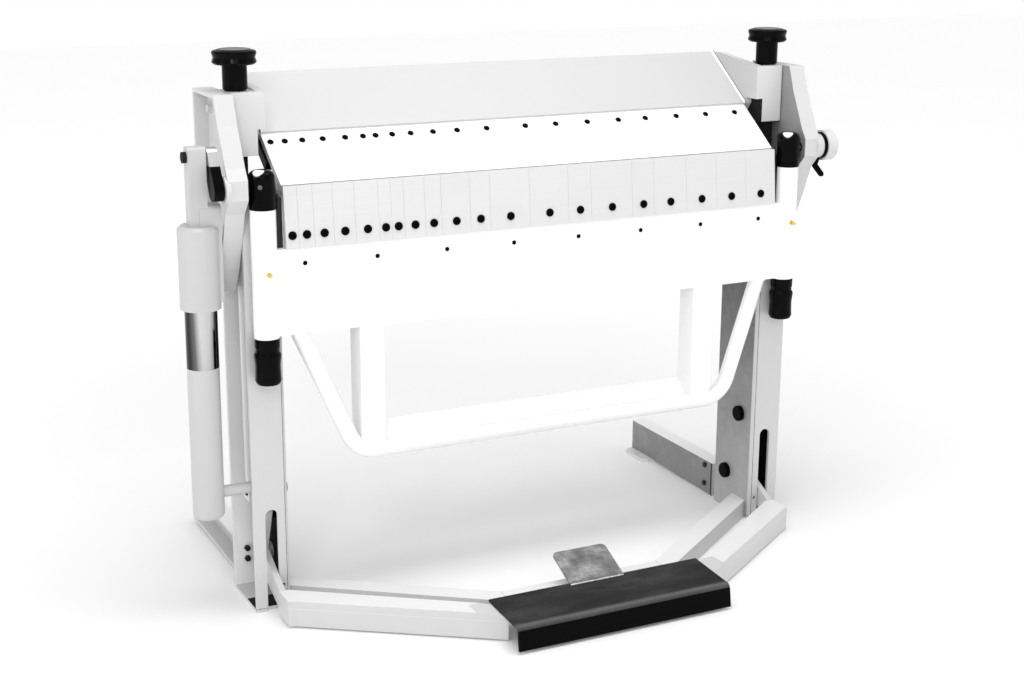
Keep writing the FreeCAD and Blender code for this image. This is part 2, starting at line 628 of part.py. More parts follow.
def stop_lever():
    """Black ring beside the disc with its curved lever."""
    x0, x1 = BOSS_OUT + 0.3, RING_OUT
    ring = rod_x(x0, x1, 0, BEND_Z, 33)
    arm = strap((4, 957), 9, (15, 928), 6.5, x0, x1)
    tip = strap((15, 928), 6.5, (-14, 909), 6, x0, x1)
    return fused([ring, arm, tip]).cut(rod_x(x0 - 1, x1 + 1, 0, BEND_Z, SHAFT_R + GAP))


def crank_arm():
    """Black arm on the left end of the hinge shaft that works the spring unit."""
    axis = (0, BEND_Z)
    arm = strap(axis, CRANK_R, CRANK_PIN, CRANK_R - 3, CRANK_OUT, CRANK_IN)
    return arm.cut(rod_x(CRANK_OUT - 1, CRANK_IN + 1, *axis, SHAFT_R + GAP))


def leaned(shape):
    """The upright spring unit leaned over its foot pin to meet the crank."""
    lean = math.degrees(math.atan2(FOOT_PIN[0] - CRANK_PIN[0], CRANK_PIN[1] - FOOT_PIN[1]))
    turned_shape = shape.copy()
    turned_shape.rotate(V(0, *FOOT_PIN), V(1, 0, 0), lean)
    return turned_shape


def spring_housing():
    """Bell over the spring tube, bar up to the crank's bolt, and side block."""
    y = FOOT_PIN[0]
    bell = rod_z(BELL_LOW, BELL_TOP, UNIT_X, y, BELL_R)
    bell = bell.makeChamfer(7, [e for e in bell.Edges if abs(e.BoundBox.ZMin - BELL_TOP) < 0.1])
    length = math.hypot(CRANK_PIN[0] - FOOT_PIN[0], CRANK_PIN[1] - FOOT_PIN[1])
    eye = FOOT_PIN[1] + length
    crown = eye + 22
    bar = box(UNIT_X - 19, UNIT_X + 19, y - 17, y + 17, BELL_TOP - 5, crown)
    bar = rounded(bar, 8, lying_at((y - 17, crown), (y + 17, crown)))
    block = box(UNIT_X, -757, y - 20, y + 26, 735, 948)
    block = rounded(block, 14, lying_at((y - 20, 948), (y + 26, 948)))
    bolt = rod_x(UNIT_X - 28, UNIT_X - 18, y, eye, 12)
    shape = fused([bell, bar, block, bolt])
    bore = rod_z(BELL_LOW - 1, BELL_TOP - 14, UNIT_X, y, SPRING_TUBE_R + 1)
    return leaned(shape.cut(bore))


def spring_tube():
    """Closed tube on its foot pin, with a cap that the pull rod runs through."""
    y, low, top = FOOT_PIN[0], SPRING_TUBE_LOW, SPRING_TUBE_TOP
    tube = rod_z(low, top, UNIT_X, y, SPRING_TUBE_R)
    tube = rounded(tube, 12, lambda e: abs(e.BoundBox.ZMax - low) < 0.1)
    tube = tube.cut(rod_z(low + 18, top - 12, UNIT_X, y, SPRING_TUBE_R - 4))
    tube = tube.cut(rod_z(top - 13, top + 1, UNIT_X, y, 8 + GAP))
    pin = rod_x(UNIT_X + SPRING_TUBE_R - 2, -STAND_IN - 1, *FOOT_PIN, 13)
    return leaned(fused([tube, pin]))


def balance_spring():
    """Coil spring between the tube's cap and the pull rod's piston."""
    y, top = FOOT_PIN[0], SPRING_TUBE_TOP - 12.2
    return leaned(rod_z(PISTON_TOP + 0.2, top, UNIT_X, y, 26).cut(
        rod_z(PISTON_TOP - 1, top + 1, UNIT_X, y, 17)))


def pull_rod():
    """Rod from the bell's crown down to a piston under the spring."""
    y = FOOT_PIN[0]
    rod = rod_z(PISTON_TOP - 3, BELL_TOP - 14, UNIT_X, y, 8)
    return leaned(fused([rod, rod_z(PISTON_TOP - 10, PISTON_TOP, UNIT_X, y, 28)]))


NODES = {
    "stand_left": stand(True), "stand_right": stand(False),
    "side_plate_left": side_plate(True), "side_plate_right": side_plate(False),
    "bed_beam": bed_beam(), "bed_blade": bed_blade(),
    "rear_rail_left": rear_rail(True), "rear_rail_right": rear_rail(False),
    "foot_pads": foot_pads(), "front_frame": front_frame(),
    "frame_bolts": frame_bolts(), "pivot_pins": pivot_pins(),
    "upper_beam": upper_beam(), "clamp_rail": clamp_rail(),
    "finger_screws": finger_screws(), "tie_rods": tie_rods(),
    "clamp_knob_left": clamp_knob(True), "clamp_knob_right": clamp_knob(False),
    "pedal_bars": pedal_bars(), "pedal_levers": pedal_levers(),
    "tread": tread(), "toe_tab": toe_tab(), "clamp_levers": clamp_levers(),
    "apron_frame": apron_frame(), "apron_segments": apron_segments(),
    "apron_screws": apron_screws(), "handle": handle(),
    "hinge_head_left": hinge_head(True), "hinge_head_right": hinge_head(False),
    "adjust_knob_left": adjust_knob(True), "adjust_knob_right": adjust_knob(False),
    "grease_nipples": grease_nipples(), "stop_disc": stop_disc(), "stop_lever": stop_lever(),
    "crank_arm": crank_arm(), "spring_housing": spring_housing(),
    "spring_tube": spring_tube(), "balance_spring": balance_spring(), "pull_rod": pull_rod(),
}
for number, (left_edge, right_edge) in enumerate(segment_edges(), 1):
    NODES["finger_%02d" % number] = finger(left_edge, right_edge)

whole = Part.makeCompound(list(NODES.values())).BoundBox
to_origin = V(-(whole.XMin + whole.XMax) / 2, -(whole.YMin + whole.YMax) / 2, 0)
os.makedirs("parts", exist_ok=True)
for name, piece in NODES.items():
    placed = piece.copy()
    placed.translate(to_origin)
    placed.exportStep("parts/%s.step" % name)
print("moved by", to_origin, "size", whole.XLength, whole.YLength, whole.ZLength)
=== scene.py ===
import bmesh
import bpy
import math
from mathutils import Matrix, Vector


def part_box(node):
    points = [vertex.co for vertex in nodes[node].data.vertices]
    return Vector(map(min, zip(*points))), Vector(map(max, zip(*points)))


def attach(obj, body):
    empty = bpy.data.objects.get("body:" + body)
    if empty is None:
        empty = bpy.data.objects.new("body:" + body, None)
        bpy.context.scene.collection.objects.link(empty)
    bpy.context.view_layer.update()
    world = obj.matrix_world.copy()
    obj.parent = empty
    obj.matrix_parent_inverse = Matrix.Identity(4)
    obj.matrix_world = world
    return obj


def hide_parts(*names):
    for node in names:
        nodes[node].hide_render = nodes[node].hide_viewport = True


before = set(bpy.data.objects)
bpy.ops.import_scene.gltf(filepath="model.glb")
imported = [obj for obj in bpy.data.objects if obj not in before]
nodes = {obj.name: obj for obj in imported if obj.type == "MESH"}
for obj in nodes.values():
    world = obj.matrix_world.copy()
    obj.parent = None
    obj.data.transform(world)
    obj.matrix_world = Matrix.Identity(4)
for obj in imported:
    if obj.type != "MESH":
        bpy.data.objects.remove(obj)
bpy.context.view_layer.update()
# The bending axis runs along the bed's blade, half a millimetre in front of it.
BLADE_GAP = 0.0005
blade_low, blade_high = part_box("bed_blade")
middle_x, axis_y = (blade_low.x + blade_high.x) / 2, blade_low.y - BLADE_GAP


def at(x, y, z):
    """Point from millimetres about the machine's middle, bending axis and floor."""
    return Vector((middle_x + x / 1000, axis_y + y / 1000, z / 1000))


# The camera stands where the photographer stood: in front and to the left, a
# little above the machine and looking down on it with a moderate lens.
azimuth, elevation, roll = (math.radians(turn) for turn in (26.596, 15.246, -0.276))
ahead = Vector((math.sin(azimuth) * math.cos(elevation),
                math.cos(azimuth) * math.cos(elevation), -math.sin(elevation)))
right = ahead.cross(Vector((0, 0, 1))).normalized()
down = ahead.cross(right)
right_rolled = right * math.cos(roll) + down * math.sin(roll)
down_rolled = down * math.cos(roll) - right * math.sin(roll)
camera = bpy.data.objects.new("camera", bpy.data.cameras.new("camera"))
camera.data.lens = 58.39
camera.data.sensor_width = 36
camera.matrix_world = Matrix.Translation(at(-1751.4, -3336.7, 1590.3)) @ Matrix(
    (right_rolled, -down_rolled, -ahead)).transposed().to_4x4()
bpy.context.scene.collection.objects.link(camera)
bpy.context.scene.camera = camera
bpy.context.scene.view_settings.view_transform = "Standard"

# A pale floor that runs far behind the machine and glows white at a distance,
# under wide soft lights from the front, both sides and above, and a white sky.


class Signal:
    """One output of a material's nodes, on which plain arithmetic works."""

    def __init__(self, finish, socket):
        self.finish, self.socket = finish, socket

    def math(self, operation, a, b):
        return self.finish.node("ShaderNodeMath", {"operation": operation}, {0: a, 1: b})

    def __add__(self, other):
        return self.math("ADD", self, other)

    def __sub__(self, other):
        return self.math("SUBTRACT", self, other)

    def __rsub__(self, other):
        return self.math("SUBTRACT", other, self)

    def __mul__(self, other):
        return self.math("MULTIPLY", self, other)

    def __gt__(self, other):
        return self.math("GREATER_THAN", self, other)

    def __lt__(self, other):
        return self.math("LESS_THAN", self, other)

    __radd__, __rmul__ = __add__, __mul__

    def clamped(self):
        return self.finish.node("ShaderNodeClamp", {}, {0: self})

    def size(self):
        return self.math("ABSOLUTE", self, 0.0)


class Finish:
    """A surface finish: one Principled shader and the nodes that feed it."""

    def __init__(self, name, **fixed):
        self.material = bpy.data.materials.new(name)
        self.material.use_nodes = True
        self.tree = self.material.node_tree
        self.shader = self.tree.nodes["Principled BSDF"]
        for socket, value in fixed.items():
            self.shader.inputs[socket.replace("_", " ")].default_value = value
        self.place = self.node("ShaderNodeTexCoord", {}, {}, "Object")

    def node(self, kind, settings, inputs, output=0):
        made = self.tree.nodes.new(kind)
        for key, value in settings.items():
            if key == "stops":
                ramp = made.color_ramp
                while len(ramp.elements) < len(value):
                    ramp.elements.new(0.5)
                for element, (place, colour) in zip(ramp.elements, value):
                    element.position = place
                    element.color = colour
            else:
                setattr(made, key, value)
        for key, value in inputs.items():
            if isinstance(value, Signal):
                self.tree.links.new(value.socket, made.inputs[key])
            else:
                made.inputs[key].default_value = value
        return Signal(self, made.outputs[output])

    def noise(self, scale, detail=3.0, roughness=0.5, where=None):
        inputs = {"Vector": where or self.place, "Scale": scale, "Detail": detail,
                  "Roughness": roughness}
        return self.node("ShaderNodeTexNoise", {}, inputs)

    def stretched(self, x, y, z):
        """The object's own coordinates, each axis scaled by itself."""
        return self.node("ShaderNodeMapping", {}, {"Vector": self.place, "Scale": (x, y, z)})

    def axis(self, letter):
        return self.node("ShaderNodeSeparateXYZ", {}, {0: self.place}, letter)

    def ramp(self, signal, *stops):
        return self.node("ShaderNodeValToRGB", {"stops": stops}, {0: signal})

    def blend(self, factor, a, b):
        """Colour a where the factor is 0 and colour b where it is 1."""
        return self.node("ShaderNodeMix", {"data_type": "RGBA"}, {0: factor, 6: a, 7: b}, 2)

    def feed(self, socket, signal):
        self.tree.links.new(signal.socket, self.shader.inputs[socket])

    def bump(self, height, strength, distance):
        inputs = {"Height": height, "Strength": strength, "Distance": distance}
        self.feed("Normal", self.node("ShaderNodeBump", {}, inputs))


def grey(value, warm=0.0):
    return (value + warm, value, value - warm, 1.0)


FLOOR_HALF = 14.0
corners = [(x * FLOOR_HALF, y * FLOOR_HALF, 0) for x, y in ((-1, -1), (1, -1), (1, 1), (-1, 1))]
floor = bpy.data.objects.new("floor", bpy.data.meshes.new("floor"))
floor.data.from_pydata(corners, [], [(0, 1, 2, 3)])
bpy.context.scene.collection.objects.link(floor)
studio = Finish("studio_floor", Roughness=0.6, IOR=1.2, Emission_Strength=0.42)
studio.feed("Base Color", studio.ramp(studio.noise(1.2), (0.3, grey(0.90)), (0.7, grey(0.92))))
FULL_GLOW = 10 ** 0.5           # metres from the machine, from where on it glows fully
across, deep = studio.axis("X"), studio.axis("Y")
far = (across * across + deep * deep) * (1 / FULL_GLOW ** 2)
studio.feed("Emission Color", studio.ramp(far, (1 / 15, grey(0.10)), (1.0, grey(1.0))))
floor.data.materials.append(studio.material)

world = bpy.data.worlds.new("studio")
bpy.context.scene.world = world
world.use_nodes = True
sky = world.node_tree.nodes["Background"]
direction = world.node_tree.nodes.new("ShaderNodeTexCoord")
rise = world.node_tree.nodes.new("ShaderNodeSeparateXYZ")
haze = world.node_tree.nodes.new("ShaderNodeValToRGB")
for stop, (place, colour) in zip(haze.color_ramp.elements, ((0.08, 1.0), (0.16, 0.60))):
    stop.position = place
    stop.color = grey(colour)
world.node_tree.links.new(direction.outputs["Generated"], rise.inputs[0])
world.node_tree.links.new(rise.outputs["Z"], haze.inputs[0])
world.node_tree.links.new(haze.outputs[0], sky.inputs["Color"])


def softbox(name, place, aim, width, height, power):
    """Rectangular area light at a place in metres, turned to face a point."""
    light = bpy.data.lights.new(name, "AREA")
    light.shape = "RECTANGLE"
    light.size, light.size_y, light.energy = width, height, power
    lamp = bpy.data.objects.new(name, light)
    lamp.location = place
    lamp.rotation_euler = (Vector(aim) - Vector(place)).to_track_quat("-Z", "Y").to_euler()
    bpy.context.scene.collection.objects.link(lamp)


softbox("key", (-1.6, -4.2, 2.6), (0, 0, 0.7), 2.6, 2.0, 38)
softbox("side", (3.4, -2.0, 2.2), (0, 0, 0.7), 2.0, 2.0, 8)
softbox("left", (-3.6, -0.6, 1.5), (-0.6, 0, 0.7), 1.6, 1.6, 20)
softbox("overhead", (0.0, -0.6, 3.8), (0, 0, 0.8), 3.2, 2.0, 66)
softbox("spark", (-2.0, -2.4, 2.6), (0, 0, 0.9), 0.35, 0.35, 10)

# The fixed front bars, the beam under the bed and the pedal's bars and levers
# are welded from sheet steel and powder coated in a pale satin grey. The coat has
# a fine orange peel and gathers a little dust near the floor. The bars' tops are
# painted paler, a painted highlight. The foot pads have the same coat, paler.


def paint(name, colour, dust=0.06, gloss=0.34, coat=0.0):
    """Powder coat of one grey, with orange peel, cloudy gloss and dust low down."""
    finish = Finish(name, IOR=1.5, Coat_Weight=coat)
    cloud = finish.noise(3.0, 4.0)
    grain = finish.noise(260.0, 2.0)
    low = (1 - finish.axis("Z") * 5.0).clamped()
    soil = low * finish.noise(24.0, 6.0, 0.65) * dust * 2.0 + cloud * dust * 0.5
    finish.tone = finish.blend(soil, grey(colour), grey(colour * 0.62, 0.01))
    finish.feed("Base Color", finish.tone)
    finish.rough = grain * 0.10 + cloud * 0.08 + (gloss - 0.09)
    finish.feed("Roughness", finish.rough)
    finish.bump(finish.noise(420.0, 2.0), 0.05, 0.0006)
    return finish


def dress(names, finish):
    """Gives CAD pieces a finish in every one of their material slots."""
    for name in names:
        for material_slot in nodes[name].material_slots:
            material_slot.material = finish.material


def reach(finish):
    """Distance from the machine's middle, in metres."""
    return (finish.axis("X") - middle_x).size()


def back(finish):
    """Distance behind the bending axis, in metres."""
    return finish.axis("Y") - axis_y


def within(signal, low, high):
    """Mask between two limits, which lie a hair on both sides of a flat face."""
    return (signal > low) * (signal < high)


def over(finish, mask, colour):
    """Covers the masked part of a painted piece with another colour."""
    finish.tone = finish.blend(mask, finish.tone, colour)
    finish.feed("Base Color", finish.tone)


def ink_and_shade(finish, mask):
    """Covers the masked part of a painted piece with dull black, for black parts and for painted
    shade.
    """
    over(finish, mask, grey(0.002))
    finish.rough = (finish.rough + mask * 0.6).clamped()
    finish.feed("Roughness", finish.rough)


PEDAL_BAR_TOP, PEDAL_BAR_REAR, FRONT_BAR_TOP = 0.0638, -0.0165, (0.0457, 0.0463)
frame_paint = paint("frame_paint", 0.62)
height = frame_paint.axis("Z")
# painted highlight: the tops of the pedal bars and the front bars are painted paler
pedal_bar = (height > PEDAL_BAR_TOP) * (back(frame_paint) < PEDAL_BAR_REAR)
over(frame_paint, (pedal_bar + within(height, *FRONT_BAR_TOP)).clamped(), grey(0.80))
dress(["front_frame", "bed_beam", "pedal_bars", "pedal_levers"], frame_paint)
dress(["foot_pads"], paint("pad_paint", 0.76))

# The dished side plates carry the hinge in a boss. Their inboard faces are a
# darker mid grey, which is a little uneven.
SIDE_PLATE_FACE = 0.7106
side_paint = paint("side_plate_paint", 0.61)
inboard_grey = side_paint.ramp(side_paint.noise(6.0, 5.0), (0.3, grey(0.24)), (0.7, grey(0.30)))
over(side_paint, reach(side_paint) < SIDE_PLATE_FACE, inboard_grey)
dress(["side_plate_left", "side_plate_right"], side_paint)

# The stands and the rails behind them are bent channels, coated as the frame.
# Their inboard sides are a darker mottled grey, on the stands darker towards the
# top. The web's inside and the front of the sole plate are black, painted shade in
# the channel, the rear flange's inner side is white, painted light in that shade,
# and a dark joint line runs down each rail beside the stand, under its top, which
# is painted pale as a painted highlight.
STAND_WEB, WEB_INSIDE, RAIL_SIDE = 0.6274, (0.6344, 0.6356), 0.6364
SOLE_TOP, SOLE_SHADE_REAR = (0.0075, 0.0085), 0.100
REAR_FLANGE, FLANGE_START = (0.1885, 0.1905), 0.645
JOINT_LINE, RAIL_TOP_DEPTH = (0.2195, 0.2250), 0.0004
INBOARD_LEAST = 0.07


def dark_inboard(name, side, foot, fall):
    """Frame paint, a darker mottled grey on the side that faces the machine's middle."""
    finish = paint(name, 0.61)
    mottle = finish.noise(9.0, 6.0, 0.6) * 0.12 + finish.noise(38.0, 6.0, 0.7) * 0.16
    mottle = mottle + finish.axis("Z") * -fall + (foot - 0.09)
    tone = mottle.math("MAXIMUM", mottle, INBOARD_LEAST)
    inboard_tone = finish.node("ShaderNodeCombineColor", {}, {0: tone, 1: tone, 2: tone})
    over(finish, reach(finish) < side, inboard_tone)
    return finish


stand_paint = dark_inboard("stand_paint", STAND_WEB, 0.405, 0.59)
# painted shade: the web's inside and the sole plate's front are black, for the dark inside of the
# channel
sole_shade = within(stand_paint.axis("Z"), *SOLE_TOP) * (back(stand_paint) < SOLE_SHADE_REAR)
ink_and_shade(stand_paint, (within(reach(stand_paint), *WEB_INSIDE) + sole_shade).clamped())
# painted light: the rear flange's inner side, in the channel's shade, is painted white
flange_painted_light = within(back(stand_paint), *REAR_FLANGE) * (reach(stand_paint) > FLANGE_START)
over(stand_paint, flange_painted_light, grey(0.95))
dress(["stand_left", "stand_right"], stand_paint)

rail_paint = dark_inboard("rail_paint", RAIL_SIDE, 0.19, 0.0)
ink_and_shade(rail_paint, within(back(rail_paint), *JOINT_LINE))
# painted highlight: the rail's top face is painted near white
rail_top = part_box("rear_rail_right")[1].z
over(rail_paint, rail_paint.axis("Z") > rail_top - RAIL_TOP_DEPTH, grey(0.95))
dress(["rear_rail_left", "rear_rail_right"], rail_paint)

# The bed's blade is a ground steel plate, with the fine lengthwise lines of the
# grinding wheel.


def ground_steel(name, colour, along=6.0, across=900.0, metal=0.3):
    """Cloudy bright steel; its fine lines run the way that is scaled least."""
    finish = Finish(name, Metallic=metal, IOR=1.6)
    lines = finish.noise(1.0, 4.0, 0.6, finish.stretched(along, across, across))
    cloud = finish.noise(5.0, 3.0)
    finish.feed("Base Color", finish.ramp(lines * 0.6 + cloud * 0.4, (0.3, grey(colour * 0.93)),
                                          (0.7, grey(colour))))
    finish.feed("Roughness", lines * 0.16 + 0.26)
    finish.bump(lines, 0.06, 0.0004)
    return finish


dress(["bed_blade"], ground_steel("blade_steel", 0.66))

# The ledge for the fingers, the levers in the stands and the pivot pins are
# steel with a black coat, slightly uneven where the coat has run. Glossier and
# duller blacks of the same kind follow on the other black parts.


def black(name, gloss=0.13, colour=0.0010, ior=1.15):
    """Black coat; a low IOR keeps the studio's white from greying it."""
    finish = Finish(name, IOR=ior)
    cloud = finish.noise(30.0, 4.0)
    finish.tone = finish.ramp(cloud, (0.3, grey(colour)), (0.7, grey(colour * 1.8)))
    finish.feed("Base Color", finish.tone)
    finish.feed("Roughness", cloud * 0.10 + gloss)
    finish.bump(finish.noise(300.0, 2.0), 0.04, 0.0004)
    return finish


black_satin = black("black_satin", 0.34, 0.0015, 1.10)
dress(["clamp_rail", "clamp_levers", "pivot_pins"], black_satin)

# Bolts hold the rails, the stands' rear flanges and the side plates. Those of
# the side plates were sprayed over with the frame; the rest are blackened.
SPRAYED_BOLTS = 0.70            # the side plates' bolts lie further out than this
bolt_finish = black("bolt_skin", 0.34, 0.010, 1.3)
over(bolt_finish, reach(bolt_finish) > SPRAYED_BOLTS, grey(0.60))
dress(["frame_bolts"], bolt_finish)

# The clamping beam is a closed box welded from light grey coated plate, with a
# cheek and a spindle block at each end. The panel is a shade darker, and the
# blocks' lower inboard faces are black, as are the tops of the tie rods. The
# fingers are hardened, ground steel.
PANEL_END, CHEEK_LINE = 0.6312, 0.6328
BLOCK_FACE, CHEEK_FOOT = (0.6505, 0.6515), 1.0912
ROD_BLACK_ABOVE = 0.93
beam_paint = paint("beam_paint", 0.66, 0.04)
over(beam_paint, reach(beam_paint) < PANEL_END, grey(0.56))
over(beam_paint, within(reach(beam_paint), PANEL_END, CHEEK_LINE), grey(0.53))
block_foot = within(reach(beam_paint), *BLOCK_FACE) * (beam_paint.axis("Z") < CHEEK_FOOT)
ink_and_shade(beam_paint, block_foot)
dress(["upper_beam"], beam_paint)
finger_steel = ground_steel("finger_steel", 0.93, 3.0, 500.0, 0.0)
dress(["finger_%02d" % number for number in range(1, 21)], finger_steel)
rod_skin = paint("tie_rod_skin", 0.70)
ink_and_shade(rod_skin, rod_skin.axis("Z") > ROD_BLACK_ABOVE)
dress(["tie_rods"], rod_skin)

# Socket screws of hardened black steel hold the fingers against the rail, one
# in the middle of each finger. Their button heads sit square on the slope.


def built(name, mesh, finish, body):
    """Adds a mesh as a piece of its own that goes with a body of the machine."""
    shape = bmesh.new()
    shape.from_mesh(mesh)
    bmesh.ops.recalc_face_normals(shape, faces=shape.faces)
    shape.to_mesh(mesh)
    shape.free()
    mesh.materials.clear()
    mesh.materials.append(finish.material)
    mesh.shade_smooth()
    mesh.set_sharp_from_angle(angle=math.radians(38))
    piece = bpy.data.objects.new(name, mesh)
    bpy.context.scene.collection.objects.link(piece)
    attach(piece, body)
    return piece


def lathe(name, profile, place, steps=72, outline=None):
    """Mesh turned about an upright line from (radius, Z) points in millimetres."""
    shape = bmesh.new()
    rings = []
    for row, (r, z) in enumerate(profile):
        ring = []
        for step in range(steps):
            angle = 2 * math.pi * step / steps
            wide = r * outline(row, angle) if outline else r
            ring.append(shape.verts.new(place + Vector(
                (wide * math.cos(angle), wide * math.sin(angle), z)) / 1000))
        rings.append(ring)
    for low, high in zip(rings, rings[1:]):
        for step in range(steps):
            nxt = (step + 1) % steps
            shape.faces.new((low[step], low[nxt], high[nxt], high[step]))
    shape.faces.new(rings[0])
    shape.faces.new(rings[-1])
    mesh = bpy.data.meshes.new(name)
    shape.to_mesh(mesh)
    shape.free()
    return mesh


HEXAGON = math.pi / 3           # angle between two corners of a socket


def screw_mesh(name, r, tall, socket, deep):
    """Button head with a hexagonal socket, its foot on the XY plane."""
    rows = [(r, -0.5), (r, tall * 0.3), (r * 0.96, tall * 0.62), (r * 0.84, tall * 0.88),
            (r * 0.68, tall), (socket * 1.2, tall), (socket, tall - 0.3), (socket, tall - deep)]

    def six_sided(row, angle):
        if row < 6:
            return 1.0
        return 1 / math.cos((angle + HEXAGON / 2) % HEXAGON - HEXAGON / 2)
    return lathe(name, rows, Vector(), 24, six_sided)


def scatter_tree(name):
    """Puts a small piece on every point of a mesh, turned and sized by the point."""
    tree = bpy.data.node_groups.new(name, "GeometryNodeTree")
    for label, way, kind in (("Places", "INPUT", "Geometry"), ("Piece", "INPUT", "Object"),
                             ("Turn spread", "INPUT", "Float"),
                             ("Size spread", "INPUT", "Float"), ("Seed", "INPUT", "Int"),
                             ("Finish", "INPUT", "Material"), ("Placed", "OUTPUT", "Geometry")):
        tree.interface.new_socket(label, in_out=way, socket_type="NodeSocket" + kind)

    def node(kind, links, **settings):
        made = tree.nodes.new(kind)
        for key, value in settings.items():
            setattr(made, key, value)
        for key, value in links.items():
            if isinstance(value, bpy.types.NodeSocket):
                tree.links.new(value, made.inputs[key])
            else:
                made.inputs[key].default_value = value
        return made
    given = node("NodeGroupInput", {}).outputs
    source = node("GeometryNodeObjectInfo", {"Object": given["Piece"]})
    turn = node("GeometryNodeInputNamedAttribute", {"Name": "turn"}, data_type="FLOAT_VECTOR")
    size = node("GeometryNodeInputNamedAttribute", {"Name": "size"}, data_type="FLOAT")
    lean = node("FunctionNodeEulerToRotation", {0: turn.outputs[0]})
    back_turn = node("ShaderNodeMath", {0: given["Turn spread"], 1: -1.0}, operation="MULTIPLY")
    spin = node("FunctionNodeRandomValue", {2: back_turn.outputs[0], 3: given["Turn spread"],
                                            8: given["Seed"]}, data_type="FLOAT")
    spun = node("FunctionNodeAxisAngleToRotation", {0: (0.0, 0.0, 1.0), 1: spin.outputs[1]})
    whole = node("FunctionNodeRotateRotation", {0: lean.outputs[0], 1: spun.outputs[0]},
                 rotation_space="LOCAL")
    least = node("ShaderNodeMath", {0: 1.0, 1: given["Size spread"]}, operation="SUBTRACT")
    share = node("FunctionNodeRandomValue", {2: least.outputs[0], 3: 1.0, 8: given["Seed"]},
                 data_type="FLOAT")
    scale = node("ShaderNodeMath", {0: size.outputs[0], 1: share.outputs[1]},
                 operation="MULTIPLY")
    copies = node("GeometryNodeInstanceOnPoints", {
        "Points": given["Places"], "Instance": source.outputs["Geometry"],
        "Rotation": whole.outputs[0], "Scale": scale.outputs[0]})
    real = node("GeometryNodeRealizeInstances", {0: copies.outputs[0]})
    finished = node("GeometryNodeSetMaterial", {0: real.outputs[0], "Material": given["Finish"]})
    node("NodeGroupOutput", {0: finished.outputs[0]})
    return tree


scatter = scatter_tree("small_pieces_on_points")


def scattered(name, mesh, places, finish, body, seed, turn_spread=0.0, size_spread=0.0):
    """One piece of many copies; places holds a point, its outward way and a size."""
    host = bpy.data.meshes.new(name + "_places")
    host.from_pydata([place for place, _, _ in places], [], [])
    turn = host.attributes.new("turn", "FLOAT_VECTOR", "POINT")
    for index, (_, way, _) in enumerate(places):
        turn.data[index].vector = Vector(way).to_track_quat("Z", "Y").to_euler()
    size = host.attributes.new("size", "FLOAT", "POINT")
    for index, (_, _, scale) in enumerate(places):
        size.data[index].value = scale
    holder = bpy.data.objects.new(name + "_holder", host)
    model = bpy.data.objects.new(name + "_model", mesh)
    for helper in (holder, model):
        bpy.context.scene.collection.objects.link(helper)
    modifier = holder.modifiers.new("copies", "NODES")
    modifier.node_group = scatter
    values = {"Piece": model, "Turn spread": turn_spread, "Size spread": size_spread,
              "Seed": seed, "Finish": finish.material}
    for item in scatter.interface.items_tree:
        if item.name in values:
            modifier[item.identifier] = values[item.name]
    evaluated = holder.evaluated_get(bpy.context.evaluated_depsgraph_get())
    copies = bpy.data.meshes.new_from_object(evaluated)
    copies.name = name
    holder.modifiers.remove(modifier)
    for helper in (holder, model):
        bpy.data.objects.remove(helper)
    return built(name, copies, finish, body)


# Widths of the fingers and of the apron's segments, left to right, in millimetres
SEGMENT_WIDTHS = [30, 35, 45, 50, 55, 30, 30, 50, 40, 70,
                  50, 100, 100, 60, 110, 60, 90, 85, 85, 85]
segment_middles, edge = [], -sum(SEGMENT_WIDTHS) / 2
for width in SEGMENT_WIDTHS:
    segment_middles.append(edge + width / 2)
    edge += width
SLOPE, NOSE_Y, NOSE_Z, SCREW_UP = math.radians(36), 3, 981, 130
slope_out = Vector((0, -math.sin(SLOPE), math.cos(SLOPE)))


def slope_point(x, s):
    """Point on the fingers' top face, s millimetres up the slope from the nose."""
    return at(x, NOSE_Y + s * math.cos(SLOPE), NOSE_Z + s * math.sin(SLOPE))


finger_screws = scattered(
    "finger_screws_round", screw_mesh("finger_screw", 7, 3.4, 2.6, 2.0),
    [(slope_point(x, SCREW_UP), slope_out, 1.0) for x in segment_middles],
    black_satin, "clamping_beam", 4, 0.5)
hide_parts("finger_screws")

# Two moulded black knobs turn the nuts on the spindles: a neck, a waisted disc
# and a shallow dished crown, all glossy.


def softened(profile, radius):
    """The (radius, Z) outline's corners, rounded off.

    Its two ends on the turning line are left out, because the mesh closes flat there.
    """
    points = [Vector(p) for p in profile]
    out = []
    for before, corner, after in zip(points, points[1:], points[2:]):
        a, b = before - corner, after - corner
        cut = min(radius, a.length * 0.45, b.length * 0.45)
        start, end = corner + a.normalized() * cut, corner + b.normalized() * cut
        for step in range(5):
            t = step / 4
            out.append(start * (1 - t) ** 2 + corner * 2 * t * (1 - t) + end * t * t)
    return out


black_gloss = black("black_gloss")
KNOB_PROFILE = [(0, 1171.6), (23, 1171.6), (26.9, 1175.5), (26.9, 1226), (43.5, 1227.5),
                (48.4, 1232), (45, 1242), (48.4, 1252), (46.5, 1256.3), (34, 1260),
                (30, 1259.4), (14, 1259), (0, 1259)]
SPINDLE_X, SPINDLE_Y = 685.5, 121
for side, label in ((-1, "left"), (1, "right")):
    mesh = lathe("clamp_knob_" + label, softened(KNOB_PROFILE, 1.0),
                 at(side * SPINDLE_X, SPINDLE_Y, 0))
    knob = built("clamp_knob_turned_" + label, mesh, black_gloss, "clamp_knob_" + label)
    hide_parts("clamp_knob_" + label)

# A small black pointer lies on the right spindle block at the foot of the knob,
# a strip of flat bar with round ends, to read the knob's turn against.


def flat_bar(start, end, wide):
    """Outline of a bar with round ends, from start to end in machine places."""
    along = (end - start).normalized()
    across = Vector((-along.y, along.x, 0)) * wide / 2000
    outline = []
    for middle, turn in ((start, math.pi / 2), (end, -math.pi / 2)):
        for step in range(7):
            angle = turn + math.pi * step / 6
            outline.append(middle + along * math.cos(angle) * wide / 2000
                           + across * math.sin(angle))
    return outline


